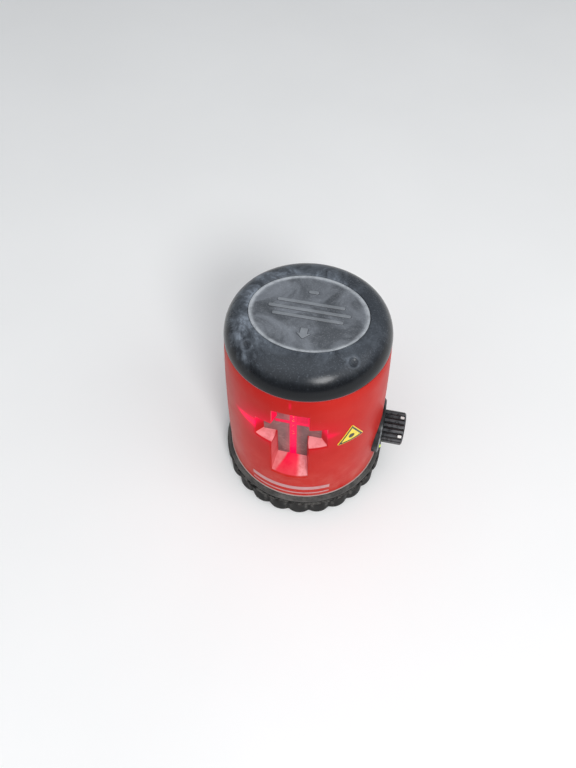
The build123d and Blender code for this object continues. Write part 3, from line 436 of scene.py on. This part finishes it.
def dusty_base():
    """Black base plate and tray under a film of pale dust."""
    g = Graph("base_black_look")
    clouds = g.span(g.noise(70.0, 6.0, 0.66, 0.6), 0.38, 0.7)
    streaks = g.span(g.noise(240.0, 4.0, 0.7), 0.42, 0.7)
    specks = speckle(g, 1400.0, 0.55, 0.7)
    amount = g.times(g.plus(clouds, g.times(streaks, 0.6)), 0.42)
    amount = g.plus(amount, g.times(specks, 0.12))
    colour = g.mix(g.smaller(amount, 0.9), rgb(0.034, 0.033, 0.0315), rgb(0.185, 0.178, 0.168))
    gloss = g.span(amount, 0.0, 0.8, 0.45, 0.70)
    g.bump((g.noise(900.0, 4.0, 0.6), 0.05, 0.5))
    return g.set(Base_Color=colour, Roughness=gloss, Specular_IOR_Level=0.22)


def worn_and_highlit_grip():
    """Dark rubber ring, rubbed grey along its top edge, with painted highlight lines on the lobes'
    flanks beside the valleys.
    """
    g = Graph("grip_rubber_look")
    x, y, z = g.axes()
    radius = g.hypotenuse(x, y)
    patchy = g.span(g.noise(330.0, 5.0, 0.72), 0.40, 0.62)
    top_edge = g.times(g.span(z, 10.4 * MM, 11.3 * MM), g.span(z, 12.3 * MM, 11.9 * MM))
    # Painted highlight: pale lines on the flanks of the lobes beside the valleys.
    flank_highlight = g.times(g.span(radius, 42.3 * MM, 42.6 * MM), g.span(radius, 43.3 * MM, 42.9 * MM))
    flank_highlight = g.times(flank_highlight, g.span(z, 3 * MM, 7 * MM, 0.3, 1.0))
    # This mask holds the worn top edge and the painted flank highlights.
    rubbed = g.times(g.larger(top_edge, flank_highlight), patchy)
    clouds = g.span(g.noise(85.0, 6.0, 0.68, 0.5), 0.42, 0.72)
    specks = speckle(g, 1400.0, 0.56, 0.70)
    amount = g.plus(g.times(clouds, 0.07), g.times(specks, 0.06))
    amount = g.larger(amount, g.times(rubbed, 0.56))
    colour = g.mix(amount, rgb(0.0040, 0.0040, 0.0038), rgb(0.165, 0.158, 0.150))
    gloss = g.span(amount, 0.0, 0.6, 0.55, 0.80)
    g.bump((g.noise(900.0, 4.0, 0.6), 0.05, 0.6), (clouds, 0.04, 0.3))
    return g.set(Base_Color=colour, Roughness=gloss, Specular_IOR_Level=0.12)


def smoke_window():
    """Opaque smoke pane with the two lines of the level's light on it."""
    g = Graph("smoke_pane_look")
    x, _, z = g.axes()
    side = g.unsigned(g.minus(x, 0.3 * MM))
    height = g.unsigned(g.minus(z, beam_z + 1.0 * MM))
    smears = g.span(g.noise(160.0, 4.0, 0.6, 1.2), 0.3, 0.75)
    facets = g.add("ShaderNodeTexVoronoi")
    g.link(g.stretched((1.0, 1.0, 0.7)), facets.inputs["Vector"])
    facets.inputs["Scale"].default_value = 150.0
    shade = g.times(facets.outputs["Color"], 0.7)
    shade = g.plus(shade, g.times(smears, 0.3))
    colour = g.mix(shade, rgb(0.13, 0.062, 0.066), rgb(0.34, 0.165, 0.16))
    core = g.span(side, 2.0 * MM, 1.1 * MM)
    line = g.span(height, 1.7 * MM, 0.7 * MM, 0.0, 0.92)
    over = g.span(z, beam_z, beam_z + 1.4 * MM)
    over = g.times(over, g.span(x, -1.5 * MM, 3.5 * MM, 0.12, 0.70))
    flat = g.larger(over, line)
    flat = g.times(flat, g.span(g.unsigned(x), 8.4 * MM, 7.6 * MM, 0.15, 1.0))
    halo = g.span(side, 1.2 * MM, 4.5 * MM, 0.16, 0.0)
    beams = g.larger(core, flat)
    light = g.plus(beams, halo)
    covered = g.smaller(g.times(beams, 1.7), 1.0)
    colour = g.mix(covered, colour, rgb(0.10, 0.0, 0.004))
    # Sparks of orange where dust on the glass catches the beam.
    spark = g.span(g.noise(900.0, 2.0, 0.6), 0.58, 0.66)
    spark = g.times(spark, g.span(side, 0.9 * MM, 0.4 * MM))
    spark = g.times(spark, g.span(z, 64 * MM, 68 * MM), g.span(z, 86 * MM, 83 * MM))
    glow = g.mix(spark, laser_red, rgb(1.0, 0.30, 0.03))
    gloss = g.span(smears, 0.0, 1.0, 0.16, 0.30)
    g.bump((g.noise(600.0, 2.0, 0.5), 0.006, 0.3))
    return g.set(
        Base_Color=colour,
        Roughness=gloss,
        Specular_IOR_Level=0.1,
        Emission_Color=glow,
        Emission_Strength=light,
    )


def from_knob_axis(g):
    """Distance from the knob's axis, in metres."""
    _, y, z = g.axes()
    up = g.minus(z, knob_axis_z)
    return g.hypotenuse(y, up)


def worn_and_highlit_knob():
    """Glossy black with the crests of the ribs rubbed grey, which also stands as a painted
    highlight along each rib.
    """
    g = Graph("knob_worn_and_highlit_look")
    # Pale rib crests: wear and a painted highlight along each rib.
    crest_wear_and_highlight = g.span(from_knob_axis(g), knob_crest_r - 0.5 * MM, knob_crest_r - 0.1 * MM)
    patchy = g.span(g.noise(420.0, 5.0, 0.7), 0.32, 0.6, 0.15, 1.0)
    specks = g.times(speckle(g, 1500.0, 0.56, 0.72), 0.22)
    worn = g.larger(g.times(crest_wear_and_highlight, patchy, 0.45), specks)
    colour = g.mix(worn, rgb(0.005, 0.005, 0.006), rgb(0.17, 0.175, 0.19))
    gloss = g.span(worn, 0.0, 0.6, 0.24, 0.42)
    g.bump((g.noise(1500.0, 3.0, 0.6), 0.012, 0.5))
    return g.set(Base_Color=colour, Roughness=gloss, Specular_IOR_Level=0.4)


def plate_with_painted_glint():
    """Black plate with light dust and a painted highlight along the front of its rim, beside the
    knob.
    """
    g = Graph("side_plate_look")
    x, y, _ = g.axes()
    # Painted highlight: a pale glint along the front of the plate's rim.
    rim = g.span(from_knob_axis(g), 13.6 * MM, 14.2 * MM)
    rim = g.times(rim, g.span(y, -6 * MM, -10 * MM), g.span(x, 40.2 * MM, 40.9 * MM))
    patchy = g.span(g.noise(380.0, 5.0, 0.7), 0.36, 0.58, 0.1, 1.0)
    clouds = g.times(g.span(g.noise(150.0, 5.0, 0.65), 0.42, 0.7), 0.10)
    # The pale colour serves both the painted glint on the rim and light dust clouds.
    worn = g.larger(g.times(rim, patchy, 0.8), clouds)
    colour = g.mix(worn, rgb(0.012, 0.0125, 0.014), rgb(0.46, 0.48, 0.50))
    gloss = g.span(worn, 0.0, 0.6, 0.30, 0.48)
    g.bump((g.noise(1300.0, 3.0, 0.6), 0.015, 0.5))
    return g.set(Base_Color=colour, Roughness=gloss, Specular_IOR_Level=0.22)


def printed(name, base, worn, rough):
    """Printed film with a few rubbed patches."""
    g = Graph(name)
    rubbed = g.span(g.noise(420.0, 4.0, 0.7), 0.5, 0.75)
    colour = g.mix(g.times(rubbed, 0.55), rgb(*base), rgb(*worn))
    gloss = g.span(g.noise(200.0, 3.0, 0.6), 0.3, 0.7, rough - 0.06, rough + 0.1)
    g.bump((g.noise(1800.0, 2.0, 0.6), 0.006, 0.4))
    return g.set(Base_Color=colour, Roughness=gloss)


def wrapped_cell():
    """Battery cells: printed wrap with a pale stripe between bare metal ends."""
    g = Graph("cell_look")
    z = g.axes()[2]
    low, high = (corner[2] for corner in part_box("battery_cells"))
    wrap = g.span(z, low + 1.2 * MM, low + 1.5 * MM)
    wrap = g.times(wrap, g.span(z, high - 3.4 * MM, high - 3.7 * MM))
    middle = low + 0.68 * (high - low)
    stripe = g.unsigned(g.minus(z, middle))
    stripe = g.span(stripe, 1.7 * MM, 1.4 * MM)
    scuffs = g.span(g.noise(300.0, 5.0, 0.7), 0.5, 0.75, 0.0, 0.35)
    print_colour = g.mix(stripe, rgb(0.025, 0.060, 0.135), rgb(0.60, 0.61, 0.60))
    print_colour = g.mix(scuffs, print_colour, rgb(0.30, 0.32, 0.34))
    colour = g.mix(wrap, rgb(0.62, 0.62, 0.61), print_colour)
    gloss = g.span(g.noise(180.0, 4.0, 0.6), 0.3, 0.7, 0.22, 0.36)
    g.bump((g.noise(700.0, 2.0, 0.6), 0.006, 0.3))
    return g.set(Base_Color=colour, Roughness=gloss, Metallic=g.minus(1.0, wrap))


def lamp():
    """Small green indicator, softly lit."""
    g = Graph("lamp_look")
    swirl = g.span(g.noise(700.0, 3.0, 0.6), 0.3, 0.7)
    colour = g.mix(swirl, rgb(0.50, 0.72, 0.04), rgb(0.78, 0.85, 0.10))
    g.bump((g.noise(1500.0, 2.0, 0.5), 0.004, 0.3))
    return g.set(
        Base_Color=colour,
        Roughness=0.18,
        Emission_Color=rgb(0.55, 0.8, 0.05),
        Emission_Strength=0.25,
    )


def clear_lens():
    """Clear glass rods, faintly hazed."""
    g = Graph("lens_look")
    haze = g.span(g.noise(500.0, 3.0, 0.6), 0.35, 0.75)
    colour = g.mix(haze, rgb(0.93, 0.95, 0.96), rgb(0.82, 0.86, 0.88))
    gloss = g.span(haze, 0.0, 1.0, 0.04, 0.14)
    g.bump((g.noise(900.0, 2.0, 0.5), 0.003, 0.2))
    return g.set(Base_Color=colour, Roughness=gloss, Transmission_Weight=0.85, IOR=1.5)


looks = {
    "red_plastic": red_barrel(),
    "cap_black": black_cap(),
    "base_black": dusty_base(),
    "grip_rubber": worn_and_highlit_grip(),
    "foot_rubber": moulded(
        "foot_rubber_look", (0.02, 0.02, 0.02), (0.04, 0.04, 0.038), 0.75, 1000, 0.03
    ),
    "brass": metal("brass_look", (0.78, 0.58, 0.26), 0.28),
    "nylon": moulded("nylon_look", (0.78, 0.76, 0.69), (0.86, 0.84, 0.78), 0.42, 900, 0.01),
    "steel": metal("steel_look", (0.60, 0.60, 0.61), 0.3),
    "trim_grey": printed("trim_look", (0.50, 0.43, 0.41), (0.30, 0.22, 0.20), 0.4),
    "seal_black": moulded("seal_look", (0.012, 0.012, 0.012), (0.03, 0.03, 0.03), 0.6, 1200, 0.01),
    "smoke_pane": smoke_window(),
    "label_yellow": printed("label_yellow_look", (0.86, 0.66, 0.035), (0.62, 0.52, 0.12), 0.3),
    "label_black": printed("label_black_look", (0.02, 0.019, 0.017), (0.16, 0.13, 0.05), 0.35),
    "stripe_pale": printed("stripe_look", (0.52, 0.26, 0.27), (0.48, 0.09, 0.08), 0.38),
    "mark_white": printed("mark_look", (0.80, 0.80, 0.78), (0.45, 0.45, 0.44), 0.4),
    "lamp_green": lamp(),
    "cast_alloy": metal("cast_alloy_look", (0.52, 0.53, 0.54), 0.42, (1.0, 1.0, 1.0)),
    "board_green": printed("board_look", (0.02, 0.15, 0.05), (0.05, 0.24, 0.09), 0.32),
    "component_black": moulded(
        "component_look", (0.02, 0.02, 0.022), (0.04, 0.04, 0.042), 0.42, 1000, 0.01
    ),
    "wire_red": moulded("wire_look", (0.42, 0.03, 0.025), (0.5, 0.05, 0.04), 0.45, 1100, 0.01),
    "cell_wrap": wrapped_cell(),
    "magnet": metal("magnet_look", (0.66, 0.66, 0.67), 0.2),
    "copper": metal("copper_look", (0.72, 0.36, 0.22), 0.3),
    "lens_clear": clear_lens(),
    "pad_foam": moulded("pad_look", (0.03, 0.03, 0.03), (0.06, 0.06, 0.06), 0.85, 700, 0.05),
}

# Nodes with a finish of their own; all others take the finish of their slot.
own_looks = {"lock_knob": worn_and_highlit_knob(), "side_plate": plate_with_painted_glint()}
slot_of = {part["node"]: part["material_slot"] for part in frame["record"]["subparts"]}
for name, node in nodes.items():
    node.data.materials.clear()
    node.data.materials.append(own_looks.get(name) or looks[slot_of[name]])


# ---- mesh builders ------------------------------------------------------------------
def full_turn(count):
    """Angles of count even steps round a circle."""
    return [2 * math.pi * i / count for i in range(count)]


def build(name, vertices, faces, look, body, replaced, crease):
    """New piece from millimetre points, riding on a body in place of the replaced nodes.

    Edges that turn by more than crease degrees stay sharp.
    """
    mesh = bpy.data.meshes.new(name)
    mesh.from_pydata([tuple(MM * c for c in v) for v in vertices], [], faces)
    mesh.update()
    piece = bpy.data.objects.new(name, mesh)
    scene.collection.objects.link(piece)
    mesh.materials.append(look)
    for polygon in mesh.polygons:
        polygon.use_smooth = True
    mesh.set_sharp_from_angle(angle=math.radians(crease))
    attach(piece, body)
    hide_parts(*replaced)


def ring_faces(rows, columns, closed=False):
    """Quads of a grid whose columns go all the way round, facing outward for rising rows.

    With closed, the last row joins the first.
    """
    faces = []
    for row in range(rows if closed else rows - 1):
        above = (row + 1) % rows
        for column in range(columns):
            beside = (column + 1) % columns
            faces.append(
                (
                    row * columns + column,
                    row * columns + beside,
                    above * columns + beside,
                    above * columns + column,
                )
            )
    return faces


# ---- cap ----------------------------------------------------------------------------
def dimpled(point, normal):
    """Point pressed in where it lies in a dimple, with a slightly raised worn lip."""
    steepness = 2.6
    for centre in dimples:
        away = (point - centre).length
        if away < dimple_r:
            point = point - normal * dimple_depth * (1 - (away / dimple_r) ** steepness)
        elif away < dimple_r + lip_width:
            share = (away - dimple_r) / lip_width
            point = point + normal * lip_height * math.sin(math.pi * share)
    return point


def make_cap():
    """Dome, oval pocket for the inlay and hollow inside, as one closed surface."""
    columns = 560
    arc_steps = 84
    hollow_steps = 8
    inner_r = seam_r - 2.2
    hollow_half = (24.2, 19.5)
    hollow_rise = 9.4
    pocket_floor_z = 112.95
    opening_half = (22.0, 18.0)
    opening_low_z = 111.6
    angles = full_turn(columns)
    vertices = []

    def oval_row(halves, z, grow=0.0):
        half_x, half_y = halves[0] + grow, halves[1] + grow
        vertices.extend((half_x * math.cos(a), half_y * math.sin(a), z) for a in angles)

    # Seat on the barrel, with a small rounded corner.
    oval_row((inner_r, inner_r), seam_z)
    oval_row((seam_r, seam_r), seam_z, -0.35)
    oval_row((seam_r, seam_r), seam_z + 0.1, -0.1)
    for step in range(2, arc_steps + 1):
        turn = math.radians(90) * (step / arc_steps)
        for angle in angles:
            outward = Vector((math.cos(angle), math.sin(angle), 0)) * math.cos(turn)
            normal = outward + Vector((0, 0, math.sin(turn)))
            vertices.append(tuple(dimpled(dome_point(turn, angle), normal)))
    # Rounded rim of the oval pocket, then its wall and floor.
    oval_row(crown_half, crown_z - 0.02, -0.25)
    oval_row(inlay_half, crown_z - 0.16, 0.18)
    oval_row(inlay_half, crown_z - 0.45, 0.04)
    oval_row(inlay_half, pocket_floor_z, 0.02)
    oval_row(opening_half, pocket_floor_z)
    oval_row(opening_half, opening_low_z)
    for step in range(hollow_steps + 1):
        turn = math.radians(90) * (1 - step / hollow_steps)
        halves = [half + (inner_r - half) * math.cos(turn) for half in hollow_half]
        oval_row(halves, seam_z + 0.3 + hollow_rise * math.sin(turn))
    faces = ring_faces(len(vertices) // columns, columns, closed=True)
    look = looks["cap_black"]
    build("cap_dome", vertices, faces, look, "housing", ("top_cap",), 35.0)


def bevelled_prism(outline, z_from, z_to, bevel):
    """Vertices and faces of a flat raised mark whose top edge slopes in by bevel.

    The outline runs anticlockwise.
    """
    # Lower bound that keeps the inset of a sharp corner short.
    sharpest = 0.35
    count = len(outline)
    vertices = [(x, y, z_from) for x, y in outline] + [(x, y, z_to - bevel) for x, y in outline]
    inner = []
    for i, (x, y) in enumerate(outline):
        before = Vector(outline[i - 1])
        after = Vector(outline[(i + 1) % count])
        here = Vector((x, y))
        first = (here - before).normalized()
        second = (after - here).normalized()
        inward = Vector((-first.y, first.x)) + Vector((-second.y, second.x))
        share = bevel / max(sharpest, inward.length_squared / 2)
        inner.append((x + inward.x * share, y + inward.y * share, z_to))
    vertices += inner
    faces = []
    for low in (0, count):
        for i in range(count):
            j = (i + 1) % count
            faces.append((low + i, low + j, low + count + j, low + count + i))
    faces.append(tuple(range(2 * count, 3 * count)))
    faces.append(tuple(reversed(range(count))))
    return vertices, faces


def slot_outline(centre_y, length, width, steps=10):
    """Outline of a bar with round ends, anticlockwise."""
    end_r = width / 2
    points = []
    for side in (1, -1):
        for i in range(steps + 1):
            turn = math.radians(-90 + 180 * i / steps)
            x = length / 2 - end_r + end_r * math.cos(turn)
            points.append((side * x, centre_y + side * end_r * math.sin(turn)))
    return points


def make_inlay():
    """Oval inlay with a raised rim, three plain bars, a short bar and an arrow."""
    columns = 320
    angles = full_turn(columns)
    # Each pair is the distance in from the rim, and the height above the recessed face.
    rim = [(0.1, -0.9), (0.1, 0.12), (0.16, 0.22), (0.32, 0.30), (0.6, 0.33), (0.95, 0.30)]
    rim += [(1.25, 0.20), (1.5, 0.05), (1.7, 0.0)]
    section = rim + [(inset, 0.0) for inset in (3.0, 6.0, 10.0, 15.0, 20.0)]
    vertices = []
    for inset, height in section:
        half_x, half_y = inlay_half[0] - inset, inlay_half[1] - inset
        z = inlay_top_z + height
        vertices.extend((half_x * math.cos(a), half_y * math.sin(a), z) for a in angles)
    faces = ring_faces(len(section), columns)
    faces.append(tuple(range((len(section) - 1) * columns, len(section) * columns)))
    faces.append(tuple(reversed(range(columns))))
    arrow = [(0, -14.9), (3.4, -11.5), (1.8, -11.5), (1.8, -8.7)]
    arrow += [(-x, y) for x, y in reversed(arrow[1:])]
    # Plain bars, each given by its centre's Y, its length and its width.
    bars = ((5.0, 30.0, 2.0), (1.0, 36.0, 2.0), (-3.0, 31.0, 2.0), (11.5, 5.0, 2.2))
    mark_height = 0.3
    for outline in [arrow] + [slot_outline(*bar) for bar in bars]:
        extra, extra_faces = bevelled_prism(
            outline, inlay_top_z - 0.1, inlay_top_z + mark_height, 0.32
        )
        start = len(vertices)
        vertices += extra
        faces += [tuple(start + i for i in face) for face in extra_faces]
    look = worn_inlay_with_relief_shade()
    build("cap_oval_inlay", vertices, faces, look, "housing", ("cap_inlay",), 30.0)


make_cap()
make_inlay()

# ---- grip ring ----------------------------------------------------------------------
ring_inner_r = 40.6
lobes = 24
notch_depth = 1.5
notch_round = 0.10
notch_narrowness = 2.6


def notch_share(angle):
    """1 at the middle of a notch between two lobes, 0 on a lobe; angle from +X."""
    pitch = 2 * math.pi / lobes
    offset = (angle + math.pi / 2 + pitch / 2) % pitch - pitch / 2
    away = math.hypot(offset / (pitch / 2), notch_round) - notch_round
    return max(0.0, 1 - away) ** notch_narrowness


def make_grip():
    """Rubber ring whose notches run up the side and close in a round end near the top."""
    pitch = 360 / lobes
    steps = 20
    offsets = [-pitch / 2 + pitch * step / steps for step in range(steps)]
    angles = [math.radians(pitch * i - 90 + o) for i in range(lobes) for o in offsets]
    # Each pair is the distance out from the inner wall, and the height.
    section = [(0.0, 0.6), (2.0, 0.6), (2.55, 0.75), (2.9, 1.15), (3.0, 1.7), (3.0, 4.0)]
    section += [(3.0, 6.5), (3.0, 8.2), (3.0, 9.2), (2.98, 10.0), (2.93, 10.6), (2.8, 11.2)]
    section += [(2.55, 11.8), (2.1, 12.25), (1.6, 12.4), (0.0, 12.4)]
    notch_end_z = 8.2
    notch_end_r = 2.9
    full_depth_at = 2.5
    vertices = []
    for outward, z in section:
        past = max(0.0, z - notch_end_z) / notch_end_r
        fade = math.sqrt(max(0.0, 1 - past**2))
        for angle in angles:
            cut = notch_depth * notch_share(angle) * fade * min(1.0, outward / full_depth_at)
            radius = ring_inner_r + outward - cut
            vertices.append((radius * math.cos(angle), radius * math.sin(angle), z))
    faces = ring_faces(len(section), len(angles), closed=True)
    look = looks["grip_rubber"]
    build("grip_ring_lobed", vertices, faces, look, "base", ("grip_ring",), 50.0)


make_grip()

# ---- CAD pieces that stay, with softened edges --------------------------------------
# Bevel widths and the weld's reach are in millimetres.
softened = {
    "housing_shell": 0.28,
    "bottom_tray": 0.25,
    "side_plate": 0.3,
    "battery_door": 0.28,
    "door_latch": 0.2,
    "lock_knob": 0.16,
    "window_pane": 0.1,
}
weld_reach = 0.002
for name, width in softened.items():
    node = nodes[name]
    # The CAD mesh is split at its face edges; the weld joins them for the bevel.
    weld = node.modifiers.new("weld", "WELD")
    weld.merge_threshold = weld_reach * MM
    bevel = node.modifiers.new("bevel", "BEVEL")
    bevel.width = width * MM
    bevel.segments = 2
    bevel.limit_method = "ANGLE"
    bevel.angle_limit = math.radians(35)
    bevel.use_clamp_overlap = True
    bevel.harden_normals = False

# ---- floor, light and camera --------------------------------------------------------
floor_material = Graph("floor_look")
floor_tone = floor_material.span(floor_material.noise(6.0, 4.0, 0.5), 0.3, 0.7)
floor_colour = floor_material.mix(floor_tone, rgb(0.95, 0.95, 0.945), rgb(0.975, 0.975, 0.97))
floor_material.bump((floor_material.noise(300.0, 3.0, 0.6), 0.05, 0.2))
floor_material.set(Base_Color=floor_colour, Roughness=0.7)
floor_mesh = bpy.data.meshes.new("floor")
reach = 6.0
corners = [(-reach, -reach, 0), (reach, -reach, 0), (reach, reach, 0), (-reach, reach, 0)]
floor_mesh.from_pydata(corners, [], [(0, 1, 2, 3)])
floor = bpy.data.objects.new("floor", floor_mesh)
scene.collection.objects.link(floor)
floor_mesh.materials.append(floor_material.material)

world = bpy.data.worlds.new("studio")
scene.world = world
world.use_nodes = True
background = world.node_tree.nodes["Background"]
background.inputs["Color"].default_value = rgb(0.93, 0.96, 1.0)
background.inputs["Strength"].default_value = 0.36

lit_point = Vector((0, 0, 60 * MM))


def area_light(name, azimuth, elevation, distance, size, power, colour=(1, 1, 1)):
    """Soft light aimed at the level; azimuth counts from the front towards the knob.

    Angles are in degrees, distance and size in metres, power in watts.
    """
    data = bpy.data.lights.new(name, "AREA")
    data.shape = "DISK"
    data.size = size
    data.energy = power
    data.color = colour
    light = bpy.data.objects.new(name, data)
    scene.collection.objects.link(light)
    a = math.radians(azimuth)
    e = math.radians(elevation)
    away = Vector((math.sin(a) * math.cos(e), -math.cos(a) * math.cos(e), math.sin(e)))
    light.location = lit_point + away * distance
    light.rotation_mode = "QUATERNION"
    light.rotation_quaternion = (-away).to_track_quat("-Z", "Y")


area_light("key", 30, 40, 1.3, 0.42, 8.6)
area_light("fill_left", -32, 48, 1.5, 1.1, 2.4)
area_light("fill_right", 75, 40, 1.6, 1.2, 4.6)
area_light("top", 0, 88, 1.8, 1.6, 5.0, (0.95, 0.98, 1.0))

camera_data = bpy.data.cameras.new("camera")
camera_data.sensor_width = 36.0
camera_data.lens = 27.05
camera_data.clip_start = 0.01
camera = bpy.data.objects.new("camera", camera_data)
scene.collection.objects.link(camera)
# The camera looks down from in front, a little to the knob's side, and leans slightly.
camera_at = Vector((27.2, -159.9, 297.6)) * MM
forward = Vector((-0.1254, 0.5501, -0.8257)).normalized()
up = Vector((0.9764, 0.2157, -0.0046)).cross(forward).normalized()
right = forward.cross(up).normalized()
turned = Matrix((right, up, -forward)).transposed().to_4x4()
camera.matrix_world = Matrix.Translation(camera_at) @ turned
scene.camera = camera
scene.view_settings.view_transform = "Standard"
